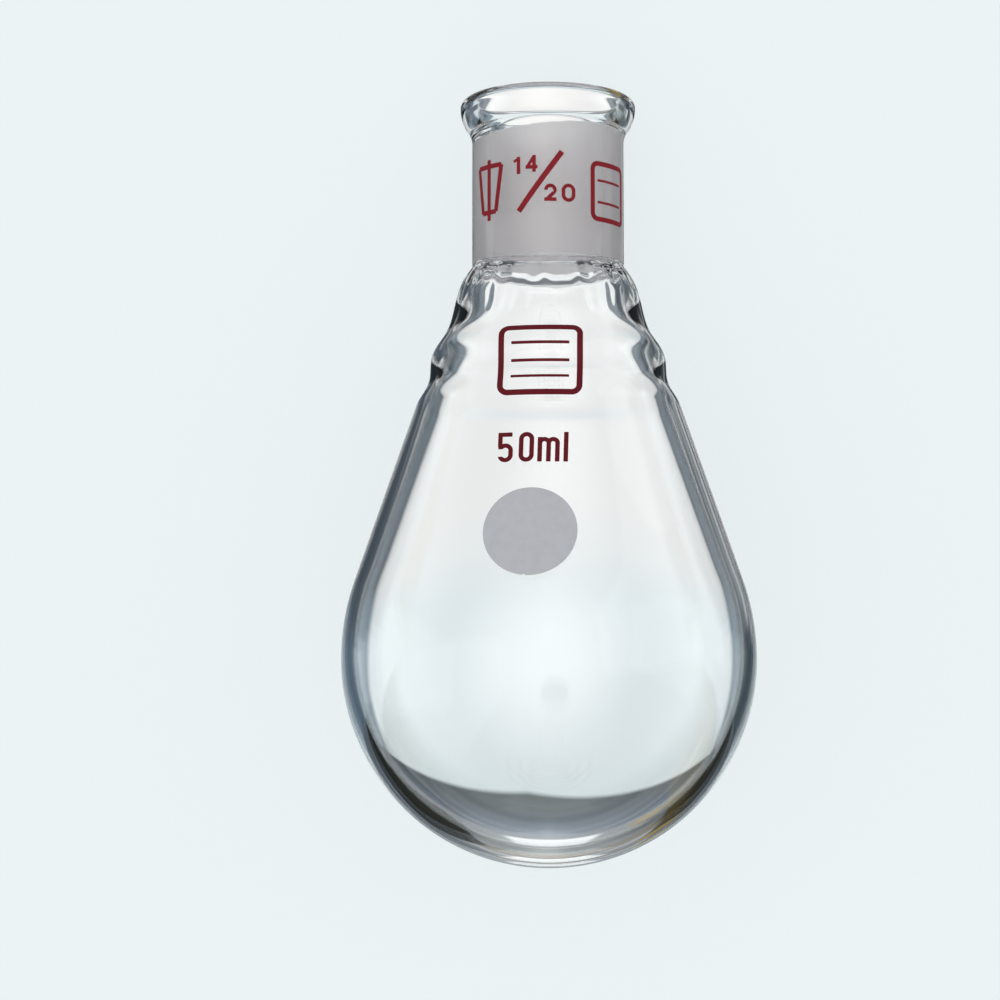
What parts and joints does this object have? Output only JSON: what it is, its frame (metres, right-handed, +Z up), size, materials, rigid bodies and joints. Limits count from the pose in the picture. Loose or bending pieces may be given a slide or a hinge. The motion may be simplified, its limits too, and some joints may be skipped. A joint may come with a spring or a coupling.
{
  "type": "recovery flask",
  "caption": "Pear-shaped recovery flask of clear blown glass with a round bottom, a waved shoulder, a ground taper socket for a neck and a flared round lip.",
  "frame": {"origin": "on the ground, under the middle of the flask's box, with the flask lying on its side", "axes": "+Z up, +Y along the flask towards its mouth, X across it; the flask's own axis dips 12.53 degrees below +Y because its belly and its lip both touch the ground"},
  "size_m": [0.049, 0.092, 0.0491],
  "materials": {
    "clear_glass": "clear and fire polished, ground matt inside the socket"
  },
  "bodies": {
    "root": {"flask": "clear_glass"}
  },
  "joints": []
}
